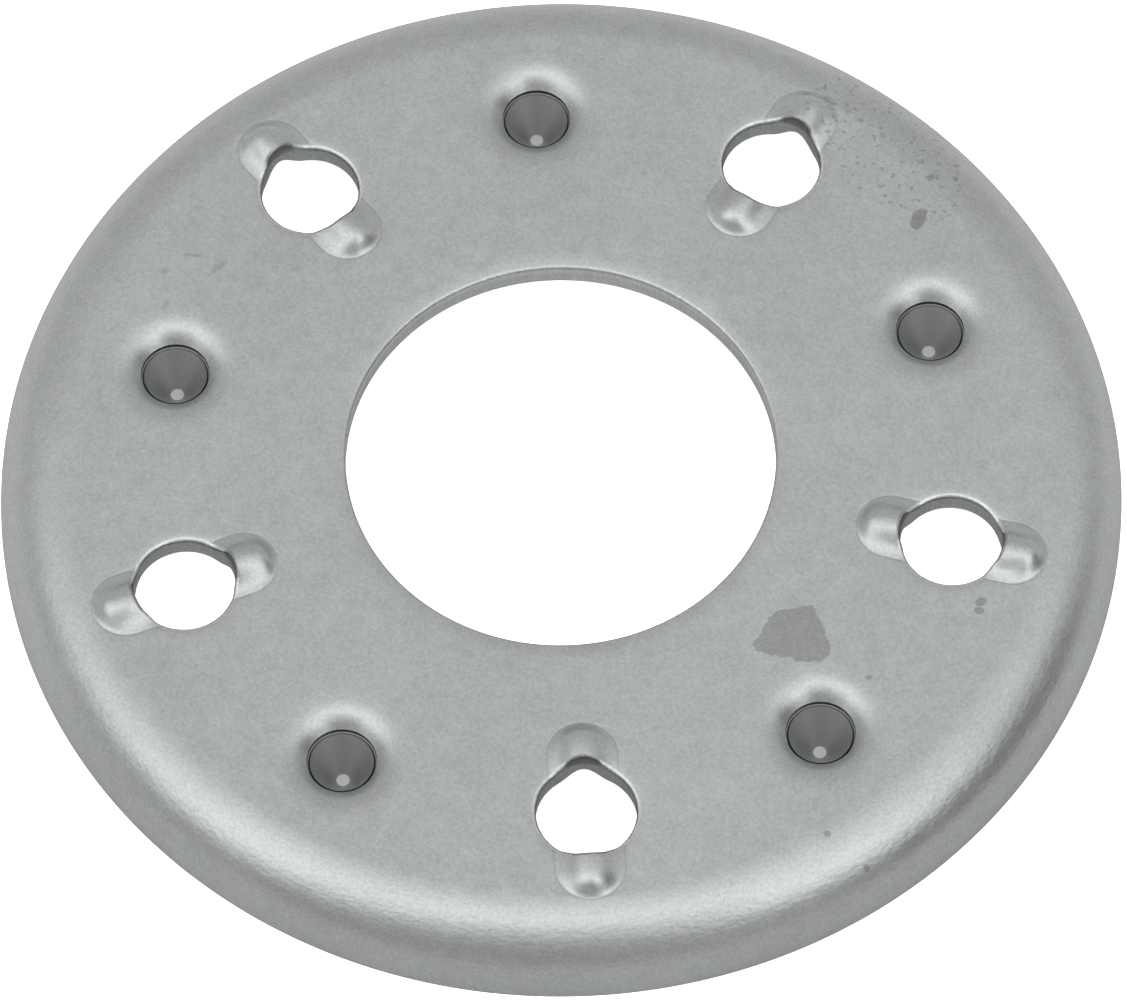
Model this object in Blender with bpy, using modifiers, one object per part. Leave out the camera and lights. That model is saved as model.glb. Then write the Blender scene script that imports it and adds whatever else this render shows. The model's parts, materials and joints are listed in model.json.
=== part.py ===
"""Pressed steel pipe flange.

A round pan is pressed from one thick sheet: a flat top with a centre bore and a rim that
curls down to a foot ring.  Five bolt holes sit on raised radial beads, and between them
five rolled-in necks each hold a small conical cup with a flat tip.

The origin is on the bore axis in the plane of the foot ring, and +Z points to the top face.
One bead lies on the -Y axis and one neck on the +Y axis.
"""

import math

import bmesh
import bpy
from mathutils import Matrix

MM = 0.001

# Pressed ring
OUTER_RADIUS = 63.5 * MM
BORE_RADIUS = 24.2 * MM
SHEET = 3.0 * MM
RIM_DEPTH = 9.0 * MM
BEND_RADIUS = 8.25 * MM
BORE_EDGE = 0.4 * MM
FOOT_EDGE = 0.3 * MM

# Pattern of ten features on one circle: bolt holes and necks alternate
FEATURES = 5
PITCH_RADIUS = 45.1 * MM
FIRST_HOLE = math.radians(-90.0)
FIRST_NECK = math.radians(90.0)

# Bolt holes and the raised beads that they pierce
HOLE_RADIUS = 5.55 * MM
BEAD_LENGTH = 21.6 * MM
BEAD_WIDTH = 7.8 * MM
BEAD_HEIGHT = 1.68 * MM

# Rolled-in necks
NECK_RADIUS = 3.9 * MM
NECK_TAPER_TOP = 3.4 * MM
NECK_SEAT_RADIUS = 3.2 * MM
LIP_RADIUS = 7.6 * MM
LIP_DROP = 1.5 * MM
COLLAR_RADIUS = 6.0 * MM
COLLAR_DEPTH = 5.2 * MM
COLLAR_FILLET = 1.0 * MM
COLLAR_LEAD = 0.25 * MM
FUNNEL_LEAD = 0.04 * MM

# Conical cups
CUP_GAP = 0.3 * MM
CUP_TOP = 1.8 * MM
CUP_LAND = 1.4 * MM
CUP_EDGE = 0.1 * MM
CUP_TIP_RADIUS = 1.6 * MM
CUP_FLOOR_RADIUS = 0.75 * MM
CUP_FLOOR_DEPTH = 6.2 * MM
CUP_DEPTH = 6.9 * MM

# Facets
RING_STEPS = 60
NECK_STEPS = 24
CUP_STEPS = 24
HOLE_STEPS = 28
BEND_STEPS = 6
INNER_BEND_STEPS = 4
EDGE_STEPS = 2
LIP_STEPS = 3
BEAD_STEPS = 20
BEAD_RINGS = 16
GROOVE_STEPS = 12
GROOVE_RINGS = 8

TOP = RIM_DEPTH
OVERSHOOT = 2.0 * MM

STEEL = ((0.38, 0.39, 0.39, 1.0), 0.42, 1.0)
CUP_STEEL = ((0.17, 0.18, 0.18, 1.0), 0.5, 1.0)


def clear_scene():
    for obj in list(bpy.data.objects):
        bpy.data.objects.remove(obj, do_unlink=True)


def new_collection(name):
    collection = bpy.data.collections.new(name)
    bpy.context.scene.collection.children.link(collection)
    return collection


def make_material(name, finish):
    colour, roughness, metallic = finish
    material = bpy.data.materials.new(name)
    material.use_nodes = True
    shader = material.node_tree.nodes["Principled BSDF"]
    shader.inputs["Base Color"].default_value = colour
    shader.inputs["Roughness"].default_value = roughness
    shader.inputs["Metallic"].default_value = metallic
    return material


def add_object(name, mesh, collection, material=None):
    obj = bpy.data.objects.new(name, mesh)
    collection.objects.link(obj)
    if material is not None:
        mesh.materials.append(material)
    return obj


def arc(centre_r, centre_z, radius, start, end, steps):
    """Points of an arc in the (r, z) plane; angles are from +r towards +z, in degrees."""
    points = []
    for step in range(steps + 1):
        angle = math.radians(start + (end - start) * step / steps)
        points.append((centre_r + radius * math.cos(angle), centre_z + radius * math.sin(angle)))
    return points


def turned(name, profile, closed, steps, collection, material=None):
    """A profile in the XZ plane turned about Z by a Screw modifier."""
    mesh = bpy.data.meshes.new(name)
    points = [(r, 0.0, z) for r, z in profile]
    edges = [(i, i + 1) for i in range(len(points) - 1)]
    if closed:
        edges.append((len(points) - 1, 0))
    mesh.from_pydata(points, edges, [])
    obj = add_object(name, mesh, collection, material)
    screw = obj.modifiers.new("Screw", "SCREW")
    screw.axis = "Z"
    screw.angle = math.tau
    screw.steps = steps
    screw.render_steps = steps
    screw.use_merge_vertices = True
    screw.merge_threshold = 0.00001
    screw.use_smooth_shade = True
    return obj


def as_cutter(obj):
    obj.hide_render = True
    obj.display_type = "WIRE"
    return obj


def add_boolean(target, tools, operation):
    """Adds or cuts every shape of a collection at once."""
    modifier = target.modifiers.new(tools.name, "BOOLEAN")
    modifier.operation = operation
    modifier.operand_type = "COLLECTION"
    modifier.collection = tools
    modifier.solver = "EXACT"


def pattern_angles(first):
    return [first + math.tau * index / FEATURES for index in range(FEATURES)]


def pattern_matrix(angle, height):
    """Moves a shape made on the Z axis, long side on X, to its place on the pitch circle."""
    return Matrix.Rotation(angle, 4, "Z") @ Matrix.Translation((PITCH_RADIUS, 0.0, height))


def pan_profile():
    """Closed section of the pan, clockwise from the top of the bore."""
    bend_r = OUTER_RADIUS - BEND_RADIUS
    bend_z = TOP - BEND_RADIUS
    points = arc(BORE_RADIUS + BORE_EDGE, TOP - BORE_EDGE, BORE_EDGE, 180.0, 90.0, EDGE_STEPS)
    points += arc(bend_r, bend_z, BEND_RADIUS, 90.0, 0.0, BEND_STEPS)
    points += arc(OUTER_RADIUS - FOOT_EDGE, FOOT_EDGE, FOOT_EDGE, 0.0, -90.0, EDGE_STEPS)
    points += [(OUTER_RADIUS - SHEET, 0.0)]
    points += arc(bend_r, bend_z, BEND_RADIUS - SHEET, 0.0, 90.0, INNER_BEND_STEPS)
    points += [(BORE_RADIUS, TOP - SHEET)]
    return points


def long_dome(name, radius, floor, steps, rings, collection):
    """A long dome: two ball ends and a straight middle, cut flat at the height floor."""
    half = (BEAD_LENGTH - BEAD_WIDTH) / 2
    shape = bmesh.new()
    for end in (-half, half):
        ball = bmesh.ops.create_uvsphere(shape, u_segments=steps, v_segments=rings, radius=radius)
        bmesh.ops.translate(shape, verts=ball["verts"], vec=(end, 0.0, 0.0))
    bmesh.ops.delete(shape, geom=shape.edges[:] + shape.faces[:], context="EDGES_FACES")
    hull = bmesh.ops.convex_hull(shape, input=shape.verts)
    inside = [v for v in hull["geom_interior"] if isinstance(v, bmesh.types.BMVert)]
    bmesh.ops.delete(shape, geom=inside, context="VERTS")
    geometry = shape.verts[:] + shape.edges[:] + shape.faces[:]
    cut = bmesh.ops.bisect_plane(
        shape, geom=geometry, plane_co=(0.0, 0.0, floor), plane_no=(0.0, 0.0, 1.0), clear_inner=True
    )
    rim = [item for item in cut["geom_cut"] if isinstance(item, bmesh.types.BMEdge)]
    bmesh.ops.contextual_create(shape, geom=rim)
    bmesh.ops.recalc_face_normals(shape, faces=shape.faces)
    mesh = bpy.data.meshes.new(name)
    shape.to_mesh(mesh)
    shape.free()
    return as_cutter(add_object(name, mesh, collection))


def hole_cutter(name, collection):
    shape = bmesh.new()
    height = SHEET + BEAD_HEIGHT + 2 * OVERSHOOT
    bmesh.ops.create_cone(
        shape, cap_ends=True, segments=HOLE_STEPS, radius1=HOLE_RADIUS, radius2=HOLE_RADIUS, depth=height
    )
    mesh = bpy.data.meshes.new(name)
    shape.to_mesh(mesh)
    shape.free()
    return as_cutter(add_object(name, mesh, collection))


def collar_profile():
    """Solid plug with the collar's outer shape; heights are measured from the top face.

    Its fillet starts inside the sheet, a little wider than where it would meet the underside.
    """
    fillet_z = -SHEET - COLLAR_FILLET
    fillet_r = COLLAR_RADIUS + COLLAR_FILLET
    fillet = arc(fillet_r, fillet_z, COLLAR_FILLET, 90.0, 180.0, LIP_STEPS)
    top = [(0.0, -SHEET / 2), (fillet_r + COLLAR_LEAD, -SHEET / 2)]
    bottom = [(COLLAR_RADIUS, -COLLAR_DEPTH), (0.0, -COLLAR_DEPTH)]
    return top + fillet[1:] + bottom


def funnel_profile():
    """The air inside a neck: a rounded lip, a straight hole and a taper in towards the cup's cone.

    The lip starts a little above the top face, so no edge of it lies in that face.
    """
    run = LIP_RADIUS - NECK_RADIUS
    lip_round = (run * run + LIP_DROP * LIP_DROP) / (2 * LIP_DROP)
    slope = math.degrees(math.asin(run / lip_round))
    lip = arc(LIP_RADIUS, -lip_round, lip_round, 90.0, 90.0 + slope, LIP_STEPS)
    lead_in = [(LIP_RADIUS + BORE_EDGE, FUNNEL_LEAD)]
    top = [(0.0, OVERSHOOT), (LIP_RADIUS + BORE_EDGE, OVERSHOOT)]
    bottom = -COLLAR_DEPTH - OVERSHOOT
    hole = [(NECK_RADIUS, -NECK_TAPER_TOP), (NECK_SEAT_RADIUS, -COLLAR_DEPTH)]
    return top + lead_in + lip[1:] + hole + [(NECK_SEAT_RADIUS, bottom), (0.0, bottom)]


def cup_profile():
    """Section of a cup from the axis: the flat floor, the cone, the rim, the land and the tip."""
    outer = NECK_RADIUS - CUP_GAP
    return [
        (0.0, -CUP_FLOOR_DEPTH),
        (CUP_FLOOR_RADIUS, -CUP_FLOOR_DEPTH),
        (outer - CUP_EDGE, -CUP_TOP),
        (outer, -CUP_TOP - CUP_EDGE),
        (outer, -CUP_TOP - CUP_LAND),
        (CUP_TIP_RADIUS, -CUP_DEPTH),
        (0.0, -CUP_DEPTH),
    ]


def make_beads(added, removed):
    """A dome over each bolt hole, a groove under it that keeps the sheet's thickness, the hole."""
    dome_radius = (BEAD_WIDTH * BEAD_WIDTH / 4 + BEAD_HEIGHT * BEAD_HEIGHT) / (2 * BEAD_HEIGHT)
    axis_z = TOP + BEAD_HEIGHT - dome_radius
    dome_floor = TOP - SHEET / 2 - axis_z
    groove_radius = dome_radius - SHEET
    groove_floor = 0.0
    for index, angle in enumerate(pattern_angles(FIRST_HOLE), start=1):
        dome = long_dome(f"bead_{index}", dome_radius, dome_floor, BEAD_STEPS, BEAD_RINGS, added)
        dome.matrix_world = pattern_matrix(angle, axis_z)
        groove = long_dome(
            f"groove_{index}", groove_radius, groove_floor, GROOVE_STEPS, GROOVE_RINGS, removed
        )
        groove.matrix_world = pattern_matrix(angle, axis_z)
        hole = hole_cutter(f"bolt_hole_{index}", removed)
        hole.matrix_world = pattern_matrix(angle, TOP - SHEET / 2)


def make_necks(added, removed):
    """A collar under the sheet at each neck, and the funnel of air through it."""
    for index, angle in enumerate(pattern_angles(FIRST_NECK), start=1):
        collar = as_cutter(turned(f"collar_{index}", collar_profile(), False, NECK_STEPS, added))
        collar.matrix_world = pattern_matrix(angle, TOP)
        funnel = as_cutter(turned(f"funnel_{index}", funnel_profile(), False, NECK_STEPS, removed))
        funnel.matrix_world = pattern_matrix(angle, TOP)


def build_ring(parts):
    added = new_collection("added_shapes")
    removed = new_collection("removed_shapes")
    make_beads(added, removed)
    make_necks(added, removed)
    steel = make_material("steel", STEEL)
    ring = turned("pressed_ring", pan_profile(), True, RING_STEPS, parts, steel)
    add_boolean(ring, added, "UNION")
    add_boolean(ring, removed, "DIFFERENCE")


def build_cups(parts):
    finish = make_material("cup_steel", CUP_STEEL)
    for index, angle in enumerate(pattern_angles(FIRST_NECK), start=1):
        cup = turned(f"cone_cup_{index}", cup_profile(), False, CUP_STEPS, parts, finish)
        cup.matrix_world = pattern_matrix(angle, TOP)


def main():
    clear_scene()
    parts = new_collection("pipe_flange")
    build_ring(parts)
    build_cups(parts)


main()
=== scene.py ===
# Looks of the pressed steel pipe flange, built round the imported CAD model.
#
# The pressed ring is meshed again as one fine closed sheet.  Its top and its underside are the
# same plane mesh, laid over the pan and bent down at the rim: s is the distance from the axis
# measured along the sheet, so s is the radius on the flat and runs on round the bend.
# Lengths in the mesh code are millimetres.

import json
import math

import bpy
import numpy as np
from mathutils import Matrix, Vector
from mathutils.geometry import delaunay_2d_cdt


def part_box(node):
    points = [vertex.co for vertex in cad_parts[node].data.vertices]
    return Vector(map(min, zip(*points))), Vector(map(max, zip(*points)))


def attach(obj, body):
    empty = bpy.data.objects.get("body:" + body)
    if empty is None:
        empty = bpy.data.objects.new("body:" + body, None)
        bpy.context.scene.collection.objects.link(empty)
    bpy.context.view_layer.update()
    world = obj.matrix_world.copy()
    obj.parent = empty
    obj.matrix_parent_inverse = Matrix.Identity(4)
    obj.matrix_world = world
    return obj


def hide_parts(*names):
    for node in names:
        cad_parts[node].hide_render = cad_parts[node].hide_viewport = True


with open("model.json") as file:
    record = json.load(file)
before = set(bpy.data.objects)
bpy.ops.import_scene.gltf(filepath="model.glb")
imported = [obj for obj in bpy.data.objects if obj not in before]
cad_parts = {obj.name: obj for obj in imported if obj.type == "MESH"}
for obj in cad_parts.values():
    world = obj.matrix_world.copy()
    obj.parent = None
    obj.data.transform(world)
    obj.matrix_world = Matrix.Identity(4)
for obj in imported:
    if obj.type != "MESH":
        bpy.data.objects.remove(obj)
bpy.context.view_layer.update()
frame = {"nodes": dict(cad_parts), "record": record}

MM = 0.001
TINY = 1e-6

# Sheet, from the frame
MOUNTS = {mount["name"]: mount for mount in frame["record"]["mounts"]}
OPENINGS = {opening["name"]: opening for opening in frame["record"]["physics"]["openings"]}
RING_NODE = "pressed_ring"
CUP_NODES = sorted(name for name in frame["nodes"] if name.startswith("cone_cup"))
TOP = MOUNTS["top_face"]["pos_m"][2] / MM
SHEET = TOP - MOUNTS["underside_face"]["pos_m"][2] / MM
OUTER_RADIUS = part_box(RING_NODE)[1].x / MM
BEAD_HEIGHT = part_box(RING_NODE)[1].z / MM - TOP
BORE_RADIUS = min(math.hypot(v.co.x, v.co.y) for v in frame["nodes"][RING_NODE].data.vertices) / MM
BEND_RADIUS = 8.25
BEND_START = OUTER_RADIUS - BEND_RADIUS
FOOT_REACH = BEND_START + BEND_RADIUS * math.pi / 2 + TOP - BEND_RADIUS

# Bore and foot: rounding of the edges, and how far the skin sags beside the bore
BORE_EDGE = 0.5
BORE_UNDER_EDGE = 0.15
BORE_DROOP = 0.2
BORE_DROOP_REACH = 0.6
FOOT_EDGE = 0.3

# Slow waves of the sheet: height, and the length of one radian of each wave
WAVE_HEIGHT = 0.012
WAVE_X = 4.7
WAVE_Y = 5.3
WAVE_SWAY = 7.1
WAVE_ACROSS = 8.9

# Faint steps that the dies leave: depth, and the radii between which it falls
BORE_DIE_STEP = (0.02, 27.2, 27.8)
HOLE_DIE_STEP = (0.016, 10.3, 10.9)

# Bolt holes: the skin sags beside the edge, more so on the shoulders of the bead
HOLE_RADIUS = 5.55
HOLE_EDGE = 0.5
HOLE_UNDER_EDGE = 0.25
HOLE_DROOP = 0.2
DROOP_REACH = 0.4
SHOULDER_PLACE = 3.3
SHOULDER_WIDTH = 0.9
SHOULDER_DROOP = 0.12
SHOULDER_REACH = 0.35
CREST_STRETCH = 0.27
CREST_HALF_WIDTH = 1.9
CREST_POWER = 6
STRETCH_FADE = 0.7

# Beads: slopes in degrees at shares of the way from the ridge to the outline
BEAD_RIDGE = 6.93
BEAD_HALF_WIDTH = 3.9
BEAD_SIDE_SLOPES = (
    (0.0, 0.0), (0.13, 12.0), (0.28, 28.0), (0.45, 40.0),
    (0.58, 38.0), (0.7, 27.0), (0.85, 22.0), (1.0, 15.0),
)
BEAD_END_SLOPES = (
    (0.0, 0.0), (0.28, 5.0), (0.42, 14.0), (0.54, 25.0), (0.66, 40.0),
    (0.74, 49.0), (0.88, 50.0), (0.95, 36.0), (1.0, 18.0),
)
CREASE_DEPTH = 0.015
CREASE_WIDTH = 0.11
GROOVE_HALF_WIDTH = 3.1
GROOVE_DEPTH = 1.6

# Necks: the lip's slopes in degrees at distances in from its start
NECK_RADIUS = 3.9
LEDGE_RADIUS = 3.7
LEDGE_DROP = 2.02
NECK_TAPER_TOP = 3.4
NECK_SEAT_RADIUS = 3.2
LIP_REACH = 8.6
LIP_DROP = 1.5
LIP_OVERRUN = 0.1
LIP_END_FALL = 0.9
LIP_SLOPES = (
    (0.0, 0.0), (1.1, 2.5), (1.6, 4.5), (2.1, 10.0), (2.6, 18.0),
    (3.1, 27.0), (3.6, 35.0), (4.1, 42.0), (4.4, 44.0), (4.7, 44.0),
)
COLLAR_RADIUS = 6.0
COLLAR_DEPTH = 5.2
COLLAR_FILLET = 1.0
COLLAR_EDGE = 0.25
HALO_WIDTH = 1.8

# Painted shade on the cut walls, as a share of light taken away; below zero it is painted light added
# Painted shade on the walls of each neck's pocket, and more of it on the ledge in the gap beside the cup
POCKET_PAINTED_SHADE = 0.25
LEDGE_PAINTED_SHADE = 0.6
# Painted light on the walls of the bore and the bolt holes, and painted shade on the crown under each bead
BORE_SHADE = -0.04
HOLE_SHADE = -0.3
CROWN_PAINTED_SHADE = 0.3
CROWN_HALF_WIDTH = 1.85
CROWN_SOFTNESS = 0.15

# Heights over the top between which the crown's painted shade grows, and depths where all the painted light
# and shade of the walls end and start
CROWN_START = -0.4
CROWN_FULL = 0.1
SHADE_END = 4.0
SHADE_FULL = 3.2

# Cups
CUP_LAND = 1.25
CUP_EDGE = 0.04
CUP_CORNER = 0.02
CUP_TIP_RADIUS = 1.6
CUP_TIP_EDGE = 0.1
CUP_TIP_ROW = 0.5
CUP_FLOOR_RADIUS = 0.75
CUP_FLOOR_THICKNESS = 0.7

# Fine mesh: steps round each loop
RIM_STEPS = 480
PATCH_RADIUS = 12.5
PATCH_STEPS = 96
HOLE_STEPS = 144
NECK_STEPS = 96
CUP_STEPS = 96
SHARP_ANGLE = 25.0

# Fine mesh: spacing of its points
FLAT_SPACING = 1.6
OUTER_LOOP = BEND_START + 2.95
RIM_SPACING = 0.3
PATCH_SPACING = 0.9
BEAD_SPACING = 0.26
BEAD_ROWS = 0.22
BEAD_FIRST_ROW = 0.25
CREASE_MARGIN = 0.3
CREASE_SPACING = 0.16
CREASE_ROWS = (-0.25, -0.14, -0.07, 0.0, 0.07, 0.14, 0.25)
OUTER_ROWS = (0.42, 0.66, 0.98)
HOLE_ROWS = ((0.25, 0.26), (0.55, 0.3), (0.95, 0.4))
HOLE_MARGIN = 0.16
FILL_MARGIN = 1.3
BORDER_MARGIN = 0.3
CELL = 0.055

# Fine mesh: rings of the necks, walls, foot and cups
NECK_OUTER_RINGS = (PATCH_RADIUS, 11.6, 10.8, 10.1, 9.5, 9.0, LIP_REACH, 8.3)
NECK_MIDDLE_START = 8.1
NECK_MIDDLE_RINGS = 9
NECK_INNER_RINGS = 22
WALL_ROWS = (0.2, 0.3, 0.36, 0.45, 0.6, 0.75)
BREAKOUT = 0.05
BREAKOUT_START = 0.3
BREAKOUT_END = 0.5
LIP_ROWS = (0.01, 0.15, 0.3)
LEDGE_FILLET = ((0.0, 0.06), (0.02, 0.015), (0.06, 0.0))
LEDGE_CORNER = 0.02
BELOW_LEDGE = 0.3
ABOVE_TAPER = 0.1
COLLAR_FOOT_MARGIN = 0.6
COLLAR_ROWS = (0.4, 0.0)
FOOT_MARGINS = (0.9, 0.3)
FOOT_INNER_EDGE = ((0.1, 0.02), (0.02, 0.1))
CUP_LAND_ROWS = (0.9, 0.6, 0.3)
CUP_OUTER_ROWS = 14
CUP_INNER_ROWS = 26

# Steel: share of light that it reflects, and its noise as blob size in mm, detail and roughness
STEEL_LEVEL = 0.632
STEEL_TINT = (0.963, 0.99, 1.0)
STEEL_ROUGHNESS = 0.31
MOTTLE_ROUGHNESS = 0.08
CLOUD = (16.0, 3.0)
CLOUD_DEPTH = 0.09
MOTTLE = (2.4, 3.0, 0.6)
MOTTLE_DEPTH = 0.12
GRAIN = (0.34, 2.0, 0.6)
GRAIN_DEPTH = 0.34
GRAIN_BUMP = 0.003
# Painted shade along the creases round the beads
CREASE_SHADE = 0.16
# The steel is darker round each neck's mouth
HALO_SHADE = 0.2

# Streaks down the cut walls
STRIATION = (0.42, 3.0, 0.6)
STRIATION_STRETCH = (1.0, 1.0, 0.04)
STRIATION_DEPTH = 0.3
STRIATION_BUMP = 0.05

# Fine wrinkles of the stretched skin on the rim
WRINKLE = (0.5, 2.0, 0.55)
WRINKLE_STRETCH = (0.42, 0.42, 1.0)
WRINKLE_START = BEND_START - 1.0
WRINKLE_FULL = BEND_START + 3.5
WRINKLE_BUMP = 0.04

# Specks of corrosion: noise, the values it runs between, and where: centre, half sizes, angle, raggedness
SPECK = (0.75, 1.5)
SPECK_START = 0.595
SPECK_FULL = 0.675
SPECK_DEPTH = 0.28
SPECK_REGION = ((39.4, 38.0), (11.5, 7.0), -55.0, 0.4)

# Marks on the steel: centre, half sizes in mm, angle in degrees, share of light lost, softness
SPOT_RAGGED = 0.12
SPOT_RIPPLE = 0.9
SPOTS = (
    ((42.7, 27.9), (1.55, 0.8), 65.0, 0.36, 0.1),
    ((44.6, 33.4), (0.6, 0.35), 60.0, 0.3, 0.1),
    ((45.5, -22.0), (0.65, 0.5), 20.0, 0.34, 0.15),
    ((45.2, -23.1), (0.55, 0.45), 0.0, 0.32, 0.15),
    ((26.2, -49.7), (0.4, 0.4), 0.0, 0.3, 0.1),
    ((32.3, -30.7), (0.35, 0.3), 0.0, 0.25, 0.1),
    ((30.3, -53.0), (0.35, 0.35), 0.0, 0.3, 0.1),
    ((2.0, -54.0), (0.6, 0.9), -20.0, 0.3, 0.7),
    ((33.7, 44.5), (0.9, 0.45), -35.0, 0.22, 0.5),
    ((35.8, 43.0), (0.55, 0.4), -20.0, 0.2, 0.4),
    ((-40.3, 28.6), (1.1, 0.25), -10.0, 0.18, 0.5),
    ((-37.4, 26.8), (1.3, 0.35), 40.0, 0.2, 0.5),
    ((-43.5, 26.8), (0.5, 0.4), 30.0, 0.18, 0.5),
    ((-43.6, 22.2), (0.6, 0.4), 70.0, 0.18, 0.5),
)

# The one large stain: its corners, clockwise, and its ragged edge
STAIN = (
    (19.6, -25.8), (22.6, -21.7), (26.8, -21.2), (28.4, -26.6),
    (27.6, -28.3), (25.4, -28.3), (20.6, -26.9),
)
STAIN_DEPTH = 0.29
STAIN_RAGGED = 1.4
STAIN_RIPPLE = (1.1, 4.0, 0.6)
STAIN_SOFTNESS = 0.06

# Cup steel
CUP_LEVEL = 0.47
CUP_TINT = (0.975, 1.0, 0.985)
CUP_ROUGHNESS = 0.45
CUP_GRAIN = (0.3, 2.0, 0.6)
CUP_GRAIN_DEPTH = 0.12
CUP_GROOVES = (0.16, 3.0, 0.6)
CUP_GROOVE_DEPTH = 0.05
CUP_GROOVE_BUMP = 0.004
# Painted highlight on the flat floor of each cup's tip, and the softness of its edge
CUP_TIP_PAINTED_HIGHLIGHT = 0.2
CUP_TIP_SOFTNESS = 0.03
# Painted shade on the cup's rim, widening the dark gap beside the neck
CUP_RIM_PAINTED_SHADE = 0.42
CUP_RIM_SHADE_RADIUS = 3.46
CUP_RIM_SOFTNESS = 0.04

# Light, as radiance, and shares of it lost
ROOM_BACK = 0.52
ROOM_FRONT = 0.43
CANOPY_LEVEL = 0.51
CANOPY_FRONT = 0.56
CANOPY_LEFT = 0.22
CANOPY_RISE = 0.16
CAMERA_SHADE = 0.85
ROOM_SHADE = 0.13
SIDE_SHADE = 0.6
BACKDROP = 1.3

# Where the light changes, as parts of a unit direction: x to the right, y to the back, z up
ROOM_TURN = (-0.6, 0.5)
SIDE_START = (0.55, 0.9)
SIDE_BACK = (0.3, -0.05)
RISE_FRONT = (-0.55, -0.95)
CANOPY_BACK = (0.72, -0.07)
CANOPY_EDGE = (0.24, 0.74)
CANOPY_FRONT_TURN = (0.05, -0.45)
CAMERA_LEFT = 0.424
CAMERA_SIDES = (0.78, 0.69)
CAMERA_TOP = (-0.09, -0.77)

# Floor
FLOOR_SIZE = 6.0
FLOOR_GLOW = 0.8
FLOOR_TO_CAMERA = 2.6
FLOOR_TO_STEEL = 0.8
# Painted shade on the front of the floor, seen only in the steel's reflections
FLOOR_FRONT_PAINTED_SHADE = 0.12
FLOOR_FRONT = -0.05

# Camera: angles in degrees and lengths in millimetres, apart from the clip distances in metres
CAMERA_AZIMUTH = -2.98
CAMERA_ELEVATION = 60.64
CAMERA_DISTANCE = 928.9
CAMERA_PITCH = 60.98
CAMERA_YAW = 0.075
CAMERA_ROLL = -0.62
CAMERA_LENS = 263.8
CAMERA_SENSOR = 36.0
CAMERA_SHIFT = (-0.0027, 0.0017)
CAMERA_CLIP = (0.05, 20.0)


def centre_of(opening):
    """Centre of an opening's box in the frame's record, in millimetres."""
    low, high = opening["box_m"]
    return np.array([(low[0] + high[0]) / 2, (low[1] + high[1]) / 2]) / MM


HOLE_CENTRES = [centre_of(OPENINGS[name]) for name in sorted(OPENINGS) if name.startswith("bolt_hole")]


def node_centre(node):
    low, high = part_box(node)
    return np.array([(low.x + high.x) / 2, (low.y + high.y) / 2]) / MM


NECK_CENTRES = [node_centre(node) for node in CUP_NODES]


# ---------------------------------------------------------------- shape of the sheet


def smooth_step(value, low, high):
    t = np.clip((value - low) / (high - low), 0.0, 1.0)
    return t * t * (3.0 - 2.0 * t)


def fall_table(slope, start, end, total):
    """Depth fallen from start to end at the given slope in degrees, scaled to fall by total."""
    x = np.linspace(start, end, 400)
    tangent = np.tan(np.radians(slope(x)))
    fallen = np.concatenate([[0.0], np.cumsum((tangent[1:] + tangent[:-1]) / 2 * np.diff(x))])
    return x, fallen * total / fallen[-1]


def slope_law(pairs):
    return lambda q: np.interp(q, [place for place, angle in pairs], [angle for place, angle in pairs])


SIDE_FALL = fall_table(slope_law(BEAD_SIDE_SLOPES), 0.0, 1.0, BEAD_HEIGHT)
END_FALL = fall_table(slope_law(BEAD_END_SLOPES), 0.0, 1.0, BEAD_HEIGHT)
LIP_FALL = fall_table(
    slope_law(LIP_SLOPES), 0.0, LIP_REACH - NECK_RADIUS + LIP_OVERRUN, LIP_DROP + LIP_END_FALL * LIP_OVERRUN
)


def local(points, centre, moved=True):
    """Points in a feature's own axes: u along the radius of the pan, v round it."""
    along = centre / np.hypot(*centre)
    across = np.array([-along[1], along[0]])
    offset = points - centre if moved else points
    return offset @ along, offset @ across


def ridge_distance(u, v):
    return np.hypot(np.maximum(np.abs(u) - BEAD_RIDGE, 0.0), v)


def crease_share(u, v):
    """One along the outline of a bead and zero away from it."""
    return np.exp(-(((ridge_distance(u, v) - BEAD_HALF_WIDTH) / CREASE_WIDTH) ** 2))


def bead_height(u, v):
    """A long dome: its sides fall away at once, and its two ends stay high and then drop."""
    distance = ridge_distance(u, v)
    beyond = np.maximum(np.abs(u) - BEAD_RIDGE, 0.0)
    endwise = (beyond / np.maximum(distance, TINY)) ** 2
    q = distance / BEAD_HALF_WIDTH
    dome = BEAD_HEIGHT - np.interp(q, *SIDE_FALL) * (1.0 - endwise) - np.interp(q, *END_FALL) * endwise
    crease = CREASE_DEPTH * crease_share(u, v)
    edge_gap = np.hypot(u, v) - HOLE_RADIUS
    beside_crest = np.exp(-(((np.abs(v) - SHOULDER_PLACE) / SHOULDER_WIDTH) ** 2))
    droop_reach = DROOP_REACH + SHOULDER_REACH * beside_crest
    droop = (HOLE_DROOP + SHOULDER_DROOP * beside_crest) * np.exp(-edge_gap / droop_reach)
    return dome - crease - droop


def crest_stretch(u, v):
    """How far a bead pulls the edge of its hole out, where the edge crosses the crest."""
    across = HOLE_RADIUS * v / np.hypot(u, v)
    return CREST_STRETCH * np.exp(-((across / CREST_HALF_WIDTH) ** CREST_POWER))


def groove_height(u, v):
    share = np.clip(ridge_distance(u, v) / GROOVE_HALF_WIDTH, 0.0, 1.0)
    return GROOVE_DEPTH * np.cos(share * math.pi / 2) ** 2


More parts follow.
